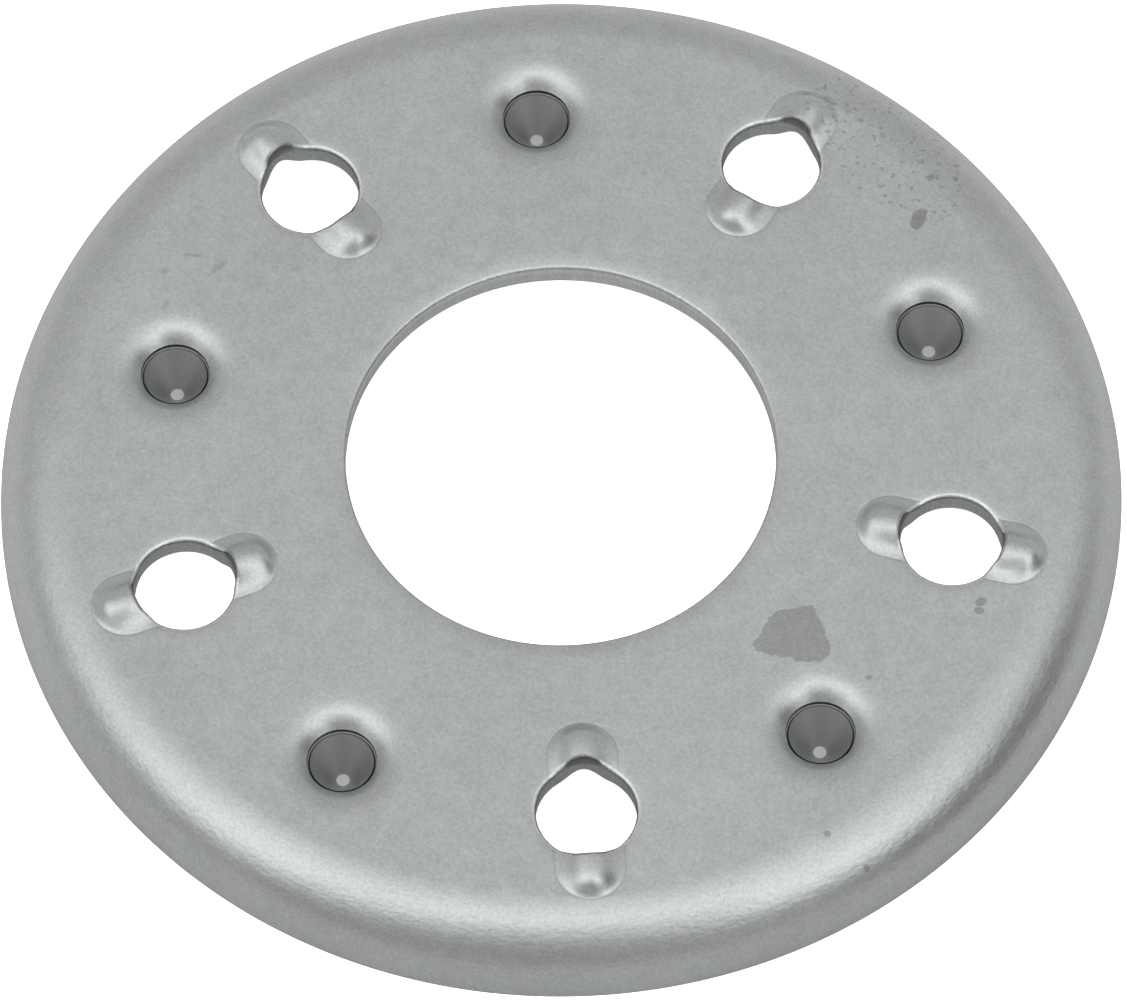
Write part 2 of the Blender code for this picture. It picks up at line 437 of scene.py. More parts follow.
def waviness(points):
    """Slow unevenness of a pressed sheet."""
    x, y = points[:, 0], points[:, 1]
    wave = np.sin(x / WAVE_X + 0.6 * np.sin(y / WAVE_SWAY)) * np.sin(y / WAVE_Y + 1.0)
    wave += 0.6 * np.sin((x + 0.7 * y) / WAVE_ACROSS + 2.0)
    return WAVE_HEIGHT * wave


def die_step(distance, depth, inner, outer):
    return -depth * smooth_step(-distance, -outer, -inner)


def die_marks(points):
    """Faint rings that the dies leave round the bore and the bolt holes."""
    height = die_step(np.hypot(points[:, 0], points[:, 1]), *BORE_DIE_STEP)
    for centre in HOLE_CENTRES:
        height += die_step(np.hypot(*(points - centre).T), *HOLE_DIE_STEP)
    return height


def top_height(points):
    height = waviness(points) + die_marks(points)
    bore_gap = np.hypot(points[:, 0], points[:, 1]) - BORE_RADIUS
    height -= BORE_DROOP * np.exp(-bore_gap / BORE_DROOP_REACH)
    for centre in HOLE_CENTRES:
        u, v = local(points, centre)
        near = np.hypot(u, v) < PATCH_RADIUS
        height[near] += bead_height(u[near], v[near])
    for centre in NECK_CENTRES:
        inward = LIP_REACH - np.hypot(*(points - centre).T)
        near = inward > 0.0
        height[near] -= np.interp(inward[near], *LIP_FALL)
    return height


def under_height(points):
    height = waviness(points)
    for centre in HOLE_CENTRES:
        u, v = local(points, centre)
        near = np.hypot(u, v) < PATCH_RADIUS
        height[near] += groove_height(u[near], v[near])
    return height


def lay(points, depth, height):
    """Plane points laid over the pan, at a depth below its outer skin plus their own height."""
    s = np.hypot(points[:, 0], points[:, 1])
    bend = np.clip((s - BEND_START) / BEND_RADIUS, 0.0, math.pi / 2)
    skirt = np.maximum(s - BEND_START - BEND_RADIUS * math.pi / 2, 0.0)
    out = np.sin(bend)
    up = np.cos(bend)
    radius = np.minimum(s, BEND_START) + (BEND_RADIUS - depth + height) * out
    z = TOP - BEND_RADIUS - skirt + (BEND_RADIUS - depth + height) * up
    outward = points / s[:, None]
    return np.column_stack([outward * radius[:, None], z])


def laid_with_normals(points, depth, height_of):
    """The laid points and the surface normals there, by differences along both plane axes."""
    step = 0.01
    here = lay(points, depth, height_of(points))
    spans = []
    for axis in ((step, 0.0), (0.0, step)):
        ahead = points + np.array(axis)
        behind = points - np.array(axis)
        spans.append(lay(ahead, depth, height_of(ahead)) - lay(behind, depth, height_of(behind)))
    normals = np.cross(*spans)
    normals /= np.linalg.norm(normals, axis=1)[:, None]
    return here, normals


# ---------------------------------------------------------------- plane mesh


def circle(radius, steps):
    angle = np.arange(steps) * math.tau / steps
    return np.column_stack([np.cos(angle), np.sin(angle)]) * radius


def ring_faces(first, second):
    """Quads between two loops of equal length."""
    return np.column_stack([first, second, np.roll(second, -1), np.roll(first, -1)])


def hex_grid(reach, spacing):
    rows = np.arange(-reach, reach, spacing * math.sqrt(3) / 2)
    columns = np.arange(-reach, reach, spacing)
    x, y = np.meshgrid(columns, rows)
    x[1::2] += spacing / 2
    return np.column_stack([x.ravel(), y.ravel()])


def inside_chords(radius, steps):
    """A radius a little inside the straight sides of a circle drawn in steps."""
    return radius * (1.0 - (math.tau / steps) ** 2 / 6)


def triangulate(points, loops, keep):
    """Delaunay triangles of the points that hold the loops' edges and whose centre is kept."""
    edges = [(int(a), int(b)) for loop in loops for a, b in zip(loop, np.roll(loop, -1))]
    vectors = [Vector(point) for point in points.tolist()]
    out = delaunay_2d_cdt(vectors, edges, [], 0, TINY)
    source = np.array([origins[0] for origins in out[3]])
    triangles = source[np.array(out[2])]
    centres = points[triangles].mean(axis=1)
    return triangles[keep(centres)]


def row_round_ridge(offset, spacing):
    """Points at one distance from the ridge of a bead, all the way round it."""
    cap = np.arange(-math.pi / 2, math.pi / 2, spacing / offset)
    straight = np.arange(0.0, BEAD_RIDGE, spacing)
    end = np.column_stack([BEAD_RIDGE + offset * np.cos(cap), offset * np.sin(cap)])
    side = np.column_stack([straight, np.full(len(straight), offset)])
    return [part for flip in (1.0, -1.0) for part in (end * flip, side * (1.0, flip), side * (-1.0, flip))]


def bead_patch():
    """Plane mesh round one bolt hole in its own axes: the patch circle comes first, then the hole."""
    hole_ring = HOLE_RADIUS + HOLE_EDGE
    border = circle(PATCH_RADIUS, PATCH_STEPS)
    hole = circle(1.0, HOLE_STEPS)
    hole *= (hole_ring + crest_stretch(*hole.T))[:, None]
    cloud = []
    for offset in np.arange(BEAD_FIRST_ROW, BEAD_HALF_WIDTH - CREASE_MARGIN, BEAD_ROWS):
        cloud += row_round_ridge(offset, BEAD_SPACING)
    for gap in CREASE_ROWS:
        cloud += row_round_ridge(BEAD_HALF_WIDTH + gap, CREASE_SPACING)
    for gap in OUTER_ROWS:
        cloud += row_round_ridge(BEAD_HALF_WIDTH + gap, BEAD_SPACING)
    ridge = np.arange(-BEAD_RIDGE, BEAD_RIDGE, BEAD_SPACING)
    cloud.append(np.column_stack([ridge, np.zeros(len(ridge))]))
    for gap, spacing in HOLE_ROWS:
        loop = circle(1.0, int(math.tau * (hole_ring + gap) / spacing))
        cloud.append(loop * (hole_ring + gap + crest_stretch(*loop.T))[:, None])
    fill = hex_grid(PATCH_RADIUS, PATCH_SPACING)
    radius = np.hypot(*fill.T)
    free = ridge_distance(*fill.T) > BEAD_HALF_WIDTH + FILL_MARGIN
    free &= (radius > hole_ring + FILL_MARGIN) & (radius < PATCH_RADIUS - 2 * BORDER_MARGIN)
    cloud.append(fill[free])
    cloud = np.vstack(cloud)
    radius = np.hypot(*cloud.T)
    clear_of_hole = radius > hole_ring + crest_stretch(*cloud.T) + HOLE_MARGIN
    cloud = cloud[clear_of_hole & (radius < PATCH_RADIUS - BORDER_MARGIN)]
    points = np.vstack([border, hole, spread_out(cloud, CELL)])
    loops = [np.arange(PATCH_STEPS), PATCH_STEPS + np.arange(HOLE_STEPS)]

    def keep(centres):
        return np.hypot(*centres.T) > inside_chords(hole_ring, HOLE_STEPS) + crest_stretch(*centres.T)

    return points, triangulate(points, loops, keep)


def spread_out(points, gap):
    """Drops points that fall in the same small cell as an earlier one."""
    cells = np.round(points / gap).astype(int)
    first = np.unique(cells, axis=0, return_index=True)[1]
    return points[np.sort(first)]


def neck_patch():
    """Plane mesh round one neck: rings from the patch circle in to the neck, and the collar's ring."""
    foot = COLLAR_RADIUS + COLLAR_FILLET
    middle = np.linspace(NECK_MIDDLE_START, foot, NECK_MIDDLE_RINGS)
    inner = np.linspace(foot, NECK_RADIUS, NECK_INNER_RINGS)[1:]
    radii = np.concatenate([NECK_OUTER_RINGS, middle, inner])
    points = np.vstack([circle(radius, NECK_STEPS) for radius in radii])
    loops = [np.arange(NECK_STEPS) + NECK_STEPS * index for index in range(len(radii))]
    faces = np.vstack([ring_faces(a, b) for a, b in zip(loops, loops[1:])])
    outside_collar = np.repeat(radii[:-1] > foot + TINY, NECK_STEPS)
    collar_loop = loops[len(NECK_OUTER_RINGS) + len(middle) - 1]
    return points, faces[:, ::-1], outside_collar, collar_loop, loops[-1]


def placed(points, centre):
    """A patch's points turned so that its u axis points away from the pan's axis, and moved."""
    along = centre / np.hypot(*centre)
    across = np.array([-along[1], along[0]])
    return points[:, :1] * along + points[:, 1:] * across + centre


class PlaneMesh:
    """Points, triangles, quads and named loops of the unrolled sheet."""

    def __init__(self):
        self.points = np.zeros((0, 2))
        self.triangles = []
        self.quads = []
        self.top_only_quads = []
        self.loops = {}

    def add(self, points):
        start = len(self.points)
        self.points = np.vstack([self.points, points])
        return start + np.arange(len(points))


def background(mesh, patch_loops):
    """The flat between the bore, the ten patches and the start of the rim."""
    bore_loop = mesh.loops["bore"]
    rim_loop = mesh.loops["rim"]
    centres = HOLE_CENTRES + NECK_CENTRES
    grid = hex_grid(OUTER_LOOP, FLAT_SPACING)
    radius = np.hypot(*grid.T)
    gap = FLAT_SPACING * 0.55
    free = (radius > BORE_RADIUS + BORE_EDGE + gap) & (radius < OUTER_LOOP - gap)
    for centre in centres:
        free &= np.hypot(*(grid - centre).T) > PATCH_RADIUS + gap
    added = mesh.add(grid[free])
    loops = [bore_loop, rim_loop] + patch_loops
    chosen = np.concatenate(loops + [added])
    place = {int(index): position for position, index in enumerate(chosen)}
    local_loops = [np.array([place[int(index)] for index in loop]) for loop in loops]

    def keep(middles):
        kept = np.hypot(*middles.T) > inside_chords(BORE_RADIUS + BORE_EDGE, RIM_STEPS)
        for centre in centres:
            kept &= np.hypot(*(middles - centre).T) > inside_chords(PATCH_RADIUS, PATCH_STEPS)
        return kept

    triangles = triangulate(mesh.points[chosen], local_loops, keep)
    mesh.triangles.append(chosen[triangles])


def plane_mesh():
    mesh = PlaneMesh()
    mesh.loops["bore"] = mesh.add(circle(BORE_RADIUS + BORE_EDGE, RIM_STEPS))
    mesh.loops["rim"] = mesh.add(circle(OUTER_LOOP, RIM_STEPS))
    patch_loops = []
    points, triangles = bead_patch()
    for number, centre in enumerate(HOLE_CENTRES):
        index = mesh.add(placed(points, centre))
        mesh.triangles.append(index[triangles])
        patch_loops.append(index[:PATCH_STEPS])
        mesh.loops[f"hole_{number}"] = index[PATCH_STEPS : PATCH_STEPS + HOLE_STEPS]
    points, quads, outside, collar_loop, neck_loop = neck_patch()
    for number, centre in enumerate(NECK_CENTRES):
        index = mesh.add(placed(points, centre))
        mesh.quads.append(index[quads[outside]])
        mesh.top_only_quads.append(index[quads[~outside]])
        patch_loops.append(index[:PATCH_STEPS])
        mesh.loops[f"collar_{number}"] = index[collar_loop]
        mesh.loops[f"neck_{number}"] = index[neck_loop]
    background(mesh, patch_loops)
    end = FOOT_REACH - FOOT_EDGE
    count = int((end - OUTER_LOOP) / RIM_SPACING)
    previous = mesh.loops["rim"]
    for s in np.linspace(OUTER_LOOP, end, count + 1)[1:]:
        following = mesh.add(circle(s, RIM_STEPS))
        mesh.quads.append(ring_faces(previous, following))
        previous = following
    mesh.loops["foot"] = previous
    return mesh


# ---------------------------------------------------------------- solid ring


def quarter(steps):
    """Sine and versine of a quarter turn in equal steps, without its first point."""
    angle = np.arange(1, steps + 1) / steps * math.pi / 2
    return list(zip(np.sin(angle), 1.0 - np.cos(angle)))


def wall_profile(radius, edge, under_edge):
    """Rings of a punched wall: distance from the axis, share of the depth and offset below it."""
    rings = [(radius + edge * (1.0 - out), 0.0, -edge * down) for out, down in quarter(5)]
    for share in WALL_ROWS:
        outward = BREAKOUT * smooth_step(share, BREAKOUT_START, BREAKOUT_END)
        rings.append((radius + outward, share, -edge * (1.0 - share)))
    low = radius + BREAKOUT
    rings.append((low, 1.0, under_edge))
    rings += [(low + under_edge * down, 1.0, under_edge * (1.0 - out)) for out, down in quarter(4)]
    return rings


class Solid:
    """Vertices with their known normals, and faces."""

    def __init__(self):
        self.points = np.zeros((0, 3))
        self.normals = np.zeros((0, 3))
        self.wall = np.zeros(0)
        self.shade = np.zeros(0)
        self.faces = []

    def add(self, points, normals=None, wall=0.0, shade=0.0):
        start = len(self.points)
        if normals is None:
            normals = np.zeros(points.shape)
        self.points = np.vstack([self.points, points])
        self.normals = np.vstack([self.normals, normals])
        self.wall = np.concatenate([self.wall, np.full(len(points), wall)])
        self.shade = np.concatenate([self.shade, np.zeros(len(points)) + shade])
        return start + np.arange(len(points))

    def strip(self, first, rings, last, facing_axis=True, shades=None):
        """Quads from the loop first through the new rings to the loop last."""
        shades = [0.0] * len(rings) if shades is None else shades
        added = [self.add(ring, wall=1.0, shade=shade) for ring, shade in zip(rings, shades)]
        loops = [first, *added, last]
        for a, b in zip(loops, loops[1:]):
            quads = ring_faces(a, b)
            self.faces.append(quads[:, ::-1] if facing_axis else quads)

    def cap(self, centre, loop, upward):
        """A fan of triangles from a point on the axis to a loop."""
        middle = np.full(len(loop), self.add(centre)[0])
        first, second = (loop, np.roll(loop, -1)) if upward else (np.roll(loop, -1), loop)
        self.faces.append(np.column_stack([middle, first, second]))


def around(solid, loop, centre):
    """Unit directions from a centre to the points of a loop."""
    offset = solid.points[loop][:, :2] - centre
    return offset / np.hypot(*offset.T)[:, None]


def punched_wall(solid, top_loop, under_loop, centre, radius, edge, under_edge, shade):
    """Joins the top and the underside round the bore or a bolt hole, which a bead pulls and crowns."""
    direction = around(solid, top_loop, centre)
    stretch = 0.0
    crown = 0.0
    if centre.any():
        u, v = local(direction, centre, moved=False)
        stretch = crest_stretch(u, v)[:, None]
        beyond = np.abs(v) * HOLE_RADIUS - CROWN_HALF_WIDTH
        crown = 1.0 - smooth_step(beyond, -CROWN_SOFTNESS, CROWN_SOFTNESS)
    high = solid.points[top_loop][:, 2]
    low = solid.points[under_loop][:, 2]
    rings = []
    shades = []
    for reach, share, offset in wall_profile(radius, edge, under_edge):
        z = high * (1.0 - share) + low * share + offset
        pulled = stretch * (1.0 - STRETCH_FADE * share)
        rings.append(np.column_stack([centre + direction * (reach + pulled), z]))
        raised = smooth_step(z, TOP + CROWN_START, TOP + CROWN_FULL)
        # Painted light on the wall (a shade below zero), turning to painted shade on the crown under the
        # bead's crest
        shades.append(shade + (CROWN_PAINTED_SHADE - shade) * crown * raised)
    solid.strip(top_loop, rings, under_loop, shades=shades)


def turned_rings(direction, centre, profile):
    return [np.column_stack([centre + direction * r, np.full(len(direction), z)]) for r, z in profile]


def neck_profile():
    """Section from the neck's lip over the ledge, down the seat and up the outside of the collar."""
    lip = TOP - LIP_DROP
    ledge = TOP - LEDGE_DROP
    taper_top = TOP - NECK_TAPER_TOP
    bottom = TOP - COLLAR_DEPTH
    fillet_top = TOP - SHEET
    edge = COLLAR_EDGE
    profile = [(NECK_RADIUS, lip - row) for row in LIP_ROWS]
    profile += [(NECK_RADIUS - inward, ledge + above) for inward, above in LEDGE_FILLET]
    profile += [(LEDGE_RADIUS + LEDGE_CORNER, ledge), (LEDGE_RADIUS, ledge - LEDGE_CORNER)]
    profile += [(LEDGE_RADIUS, z) for z in np.linspace(ledge - BELOW_LEDGE, taper_top + ABOVE_TAPER, 3)]
    profile += blended((LEDGE_RADIUS, taper_top), (NECK_SEAT_RADIUS, bottom + edge), 5)
    profile += [(NECK_SEAT_RADIUS + edge * down, bottom + edge * (1.0 - out)) for out, down in quarter(3)]
    profile += [(NECK_SEAT_RADIUS + COLLAR_FOOT_MARGIN, bottom), (COLLAR_RADIUS - COLLAR_FOOT_MARGIN, bottom)]
    profile += [(COLLAR_RADIUS - edge, bottom)]
    profile += [(COLLAR_RADIUS - edge * (1.0 - out), bottom + edge * down) for out, down in quarter(3)]
    profile += [(COLLAR_RADIUS, fillet_top - COLLAR_FILLET - row) for row in COLLAR_ROWS]
    for out, down in quarter(6)[:-1]:
        profile.append((COLLAR_RADIUS + COLLAR_FILLET * down, fillet_top - COLLAR_FILLET * (1.0 - out)))
    return profile


def neck_and_collar(solid, neck_loop, collar_loop, centre):
    """Joins the top and the underside through one neck. Its first ring follows the lip's own height."""
    direction = around(solid, neck_loop, centre)
    profile = neck_profile()
    rings = turned_rings(direction, centre, profile)
    rings[0][:, 2] = solid.points[neck_loop][:, 2] - LIP_ROWS[0]
    below = TOP - LEDGE_DROP - BELOW_LEDGE
    # Painted shade on the neck's walls, and more of it on the ledge in the gap beside the cup
    shades = [LEDGE_PAINTED_SHADE if r < NECK_RADIUS and z > below else POCKET_PAINTED_SHADE for r, z in profile]
    solid.strip(neck_loop, rings, collar_loop, shades=shades)


def foot_ring(solid, outer_loop, inner_loop):
    """Joins the top and the underside along the cut edge that the part stands on."""
    centre = np.zeros(2)
    direction = around(solid, outer_loop, centre)
    inner = OUTER_RADIUS - SHEET
    profile = [(OUTER_RADIUS - FOOT_EDGE * down, FOOT_EDGE * (1.0 - out)) for out, down in quarter(4)]
    profile += [(r, 0.0) for r in np.linspace(OUTER_RADIUS - FOOT_MARGINS[0], inner + FOOT_MARGINS[1], 4)]
    profile += [(inner + outward, z) for outward, z in FOOT_INNER_EDGE]
    solid.strip(outer_loop, turned_rings(direction, centre, profile), inner_loop, facing_axis=False)


def build_ring_solid():
    plane = plane_mesh()
    points = plane.points
    top, top_normals = laid_with_normals(points, 0.0, top_height)
    under, under_normals = laid_with_normals(points, SHEET, under_height)
    solid = Solid()
    top_index = solid.add(top, top_normals)
    under_index = solid.add(under, -under_normals)
    for faces in plane.triangles + plane.quads:
        solid.faces.append(top_index[faces])
        solid.faces.append(under_index[faces[:, ::-1]])
    for faces in plane.top_only_quads:
        solid.faces.append(top_index[faces])
    loops = plane.loops
    bore = loops["bore"]
    bore_wall = (np.zeros(2), BORE_RADIUS, BORE_EDGE, BORE_UNDER_EDGE, BORE_SHADE)
    punched_wall(solid, top_index[bore], under_index[bore], *bore_wall)
    for number, centre in enumerate(HOLE_CENTRES):
        loop = loops[f"hole_{number}"]
        hole_wall = (centre, HOLE_RADIUS, HOLE_EDGE, HOLE_UNDER_EDGE, HOLE_SHADE)
        punched_wall(solid, top_index[loop], under_index[loop], *hole_wall)
    for number, centre in enumerate(NECK_CENTRES):
        neck_loop = top_index[loops[f"neck_{number}"]]
        neck_and_collar(solid, neck_loop, under_index[loops[f"collar_{number}"]], centre)
    foot_ring(solid, top_index[loops["foot"]], under_index[loops["foot"]])
    return solid, np.vstack([points, points])


def make_mesh(name, solid):
    """A mesh of the solid, smooth, with its known normals, without loose points."""
    faces = [face for group in solid.faces for face in group.tolist()]
    used = np.unique(np.concatenate([group.ravel() for group in solid.faces]))
    place = np.full(len(solid.points), -1)
    place[used] = np.arange(len(used))
    faces = [[int(place[index]) for index in face] for face in faces]
    mesh = bpy.data.meshes.new(name)
    mesh.from_pydata((solid.points[used] * MM).tolist(), [], faces)
    mesh.update()
    mesh.shade_smooth()
    own = np.zeros(len(used) * 3)
    mesh.vertex_normals.foreach_get("vector", own)
    normals = own.reshape(-1, 3)
    known = np.linalg.norm(solid.normals[used], axis=1) > 0.5
    normals[known] = solid.normals[used][known]
    if known.any():
        mesh.normals_split_custom_set_from_vertices(normals.tolist())
    else:
        mesh.set_sharp_from_angle(angle=math.radians(SHARP_ANGLE))
    return mesh, used


def add_attribute(mesh, name, kind, values):
    attribute = mesh.attributes.new(name, kind, "POINT")
    field = "value" if kind == "FLOAT" else "vector"
    attribute.data.foreach_set(field, np.asarray(values, np.float32).ravel())


def crease_near(points, centre):
    u, v = local(points, centre)
    return np.where(np.hypot(u, v) < PATCH_RADIUS, crease_share(u, v), 0.0)


def halo_near(points, centre):
    distance = np.hypot(*(points - centre).T)
    return 1.0 - smooth_step(distance, NECK_RADIUS, NECK_RADIUS + HALO_WIDTH)


def unrolled_places(solid, plane_points):
    """Every vertex's direction from the axis, at the outer radius, and its place along the sheet."""
    flat = np.vstack([plane_points, solid.points[len(plane_points) :, :2]])
    reach = np.hypot(*flat.T)
    along = FOOT_REACH - solid.points[:, 2]
    along[: len(plane_points)] = reach[: len(plane_points)]
    return np.column_stack([flat / reach[:, None] * OUTER_RADIUS, along])


def add_piece(mesh, material, node):
    """Puts a mesh in the scene in place of a CAD node, riding on the part's one body."""
    piece = bpy.data.objects.new(mesh.name, mesh)
    bpy.context.scene.collection.objects.link(piece)
    mesh.materials.append(material)
    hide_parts(node)
    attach(piece, "root")


def build_ring(material):
    """The ring's mesh, with the values that its material reads from each vertex."""
    solid, plane_points = build_ring_solid()
    mesh, used = make_mesh("pressed_ring_sheet", solid)
    outer = plane_points[: len(plane_points) // 2]
    on_skin = {
        "outer_skin": 1.0,
        # crease: where painted shade lies along the beads' outlines
        "crease": sum(crease_near(outer, centre) for centre in HOLE_CENTRES),
        # halo: the steel darker round each neck's mouth
        "halo": sum(halo_near(outer, centre) for centre in NECK_CENTRES),
    }
    for name, share in on_skin.items():
        values = np.zeros(len(solid.points))
        values[: len(outer)] = share
        add_attribute(mesh, name, "FLOAT", values[used])
    add_attribute(mesh, "wall", "FLOAT", solid.wall[used])
    add_attribute(mesh, "shade", "FLOAT", solid.shade[used])
    add_attribute(mesh, "unrolled", "FLOAT_VECTOR", unrolled_places(solid, plane_points)[used] * MM)
    add_piece(mesh, material, RING_NODE)


# ---------------------------------------------------------------- cups


def cup_profile(node):
    """Section of a cup, from its tip up the outside, over the rim and down the cone to the floor."""
    low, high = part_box(node)
    outer = (high.x - low.x) / 2 / MM
    top = high.z / MM
    bottom = low.z / MM
    floor = bottom + CUP_FLOOR_THICKNESS
    rim = outer - CUP_EDGE
    profile = [(0.0, bottom), (CUP_TIP_RADIUS - CUP_TIP_ROW, bottom)]
    profile += [(CUP_TIP_RADIUS - CUP_TIP_EDGE, bottom)]
    profile += blended((CUP_TIP_RADIUS, bottom + CUP_TIP_EDGE), (outer, top - CUP_LAND), CUP_OUTER_ROWS)
    profile += [(outer, top - CUP_LAND * share) for share in CUP_LAND_ROWS]
    profile += [(outer, top - CUP_EDGE), (rim + 0.7 * CUP_EDGE, top - 0.3 * CUP_EDGE), (rim, top)]
    cone_top = (rim - CUP_CORNER, top - CUP_CORNER)
    profile += blended(cone_top, (CUP_FLOOR_RADIUS, floor + CUP_CORNER), CUP_INNER_ROWS)
    profile += [(CUP_FLOOR_RADIUS - CUP_CORNER, floor), (CUP_FLOOR_RADIUS * 0.6, floor), (0.0, floor)]
    return profile


def blended(start, end, steps):
    share = np.linspace(0.0, 1.0, steps + 1)
    return [(start[0] + (end[0] - start[0]) * t, start[1] + (end[1] - start[1]) * t) for t in share]


def build_cup(node, material):
    solid = Solid()
    centre = node_centre(node)
    rings = turned_rings(circle(1.0, CUP_STEPS), centre, cup_profile(node))
    loops = [solid.add(ring) for ring in rings[1:-1]]
    for a, b in zip(loops, loops[1:]):
        solid.faces.append(ring_faces(b, a))
    solid.cap(rings[0][:1], loops[0], upward=False)
    solid.cap(rings[-1][:1], loops[-1], upward=True)
    mesh, used = make_mesh(f"{node}_turned", solid)
    local_points = (solid.points[used] - np.append(centre, 0.0)) * MM
    add_attribute(mesh, "turned", "FLOAT_VECTOR", local_points)
    add_piece(mesh, material, node)


# ---------------------------------------------------------------- materials


class Graph:
    """Short calls that build a node tree."""

    def __init__(self, tree):
        self.tree = tree
        tree.nodes.clear()

    def node(self, kind, **settings):
        made = self.tree.nodes.new(kind)
        for name, value in settings.items():
            setattr(made, name, value)
        return made

    def feed(self, socket, value):
        if isinstance(value, bpy.types.NodeSocket):
            self.tree.links.new(value, socket)
        else:
            socket.default_value = value

    def filled(self, made, values):
        """The node, with its first inputs filled."""
        for socket, value in zip(made.inputs, values):
            self.feed(socket, value)
        return made

    def math(self, operation, *values):
        return self.filled(self.node("ShaderNodeMath", operation=operation), values).outputs[0]

    def vector(self, operation, *values):
        made = self.filled(self.node("ShaderNodeVectorMath", operation=operation), values)
        return made.outputs["Value" if operation == "LENGTH" else "Vector"]

    def noise(self, place, size, detail, roughness=0.5):
        """Noise from 0 to 1 with blobs of the given size in millimetres."""
        made = self.node("ShaderNodeTexNoise")
        self.feed(made.inputs["Vector"], place)
        self.feed(made.inputs["Scale"], 1.0 / (size * MM))
        self.feed(made.inputs["Detail"], detail)
        self.feed(made.inputs["Roughness"], roughness)
        return made.outputs["Fac"]

    def varied(self, level, noise, amount):
        """A level that noise moves up and down by up to half the amount."""
        return self.math("MULTIPLY_ADD", self.math("SUBTRACT", noise, 0.5), amount, level)

    def scaled(self, level, mask, change):
        """A level that changes by the given share of itself where the mask is one."""
        return self.math("MULTIPLY", level, self.math("MULTIPLY_ADD", mask, change, 1.0))

    def window(self, value, low, high, start=0.0, end=1.0):
        """A smooth step from start, where the value is low, to end, where it is high."""
        made = self.node("ShaderNodeMapRange", interpolation_type="SMOOTHSTEP")
        return self.filled(made, (value, low, high, start, end)).outputs[0]

    def attribute(self, name, output="Vector"):
        return self.node("ShaderNodeAttribute", attribute_name=name).outputs[output]

    def separate(self, value):
        return self.filled(self.node("ShaderNodeSeparateXYZ"), [value]).outputs

    def combine(self, x, y, z):
        return self.filled(self.node("ShaderNodeCombineXYZ"), (x, y, z)).outputs[0]

    def bump(self, height, distance, normal=None, strength=1.0):
        """A normal bent by a height whose full range is the given distance in millimetres."""
        made = self.node("ShaderNodeBump")
        self.feed(made.inputs["Height"], height)
        self.feed(made.inputs["Strength"], strength)
        self.feed(made.inputs["Distance"], distance * MM)
        if normal is not None:
            self.feed(made.inputs["Normal"], normal)
        return made.outputs[0]

    def finish(self, kind, shader):
        """Ends the tree with an output node."""
        self.feed(self.node(kind).inputs["Surface"], shader.outputs[0])


def new_material(name):
    material = bpy.data.materials.new(name)
    material.use_nodes = True
    return material, Graph(material.node_tree)


def finish_metal(graph, level, tint, roughness, normal):
    """Ends a material as a metal with the given grey level times a tint."""
    shader = graph.node("ShaderNodeBsdfPrincipled")
    colour = graph.vector("MULTIPLY", graph.combine(level, level, level), tint)
    graph.feed(shader.inputs["Base Color"], colour)
    graph.feed(shader.inputs["Metallic"], 1.0)
    graph.feed(shader.inputs["Roughness"], roughness)
    graph.feed(shader.inputs["Normal"], normal)
    graph.finish("ShaderNodeOutputMaterial", shader)


def spot(graph, place, centre, size, angle, ragged, seed=0.0, softness=0.08):
    """Mask of one mark on the sheet: an ellipse with a ragged edge. Sizes in millimetres."""
    offset = graph.vector("SUBTRACT", place, (centre[0] * MM, centre[1] * MM, 0.0))
    turn = math.radians(angle)
    cosine, sine = math.cos(turn), math.sin(turn)
    x, y = graph.separate(offset)[:2]
    u = graph.math("ADD", graph.math("MULTIPLY", x, cosine), graph.math("MULTIPLY", y, sine))
    v = graph.math("SUBTRACT", graph.math("MULTIPLY", y, cosine), graph.math("MULTIPLY", x, sine))
    u = graph.math("DIVIDE", u, size[0] * MM)
    v = graph.math("DIVIDE", v, size[1] * MM)
    distance = graph.vector("LENGTH", graph.combine(u, v, 0.0))
    ripple = graph.noise(graph.vector("ADD", place, (seed, 0.0, 0.0)), max(size) * SPOT_RIPPLE, 3.0)
    unevenness = graph.math("MULTIPLY", graph.math("SUBTRACT", ripple, 0.5), ragged * 4)
    edge = graph.math("ADD", distance, unevenness)
    return graph.window(edge, 1.0 + softness, 1.0 - softness)


def patch(graph, place, corners):
    """Mask of a mark with straight-sided corners, given clockwise in millimetres, and a ragged edge."""
    x, y = graph.separate(place)[:2]
    outside = None
    for (x0, y0), (x1, y1) in zip(corners, corners[1:] + corners[:1]):
        length = math.hypot(x1 - x0, y1 - y0)
        normal = ((y0 - y1) / length, (x1 - x0) / length)
        reach = graph.math("MULTIPLY_ADD", x, normal[0], -(normal[0] * x0 + normal[1] * y0) * MM)
        reach = graph.math("MULTIPLY_ADD", y, normal[1], reach)
        outside = reach if outside is None else graph.math("MAXIMUM", outside, reach)
    ripple = graph.math("SUBTRACT", graph.noise(place, *STAIN_RIPPLE), 0.5)
    edge = graph.math("MULTIPLY_ADD", ripple, STAIN_RAGGED * MM, outside)
    return graph.window(edge, STAIN_SOFTNESS * MM, -STAIN_SOFTNESS * MM)


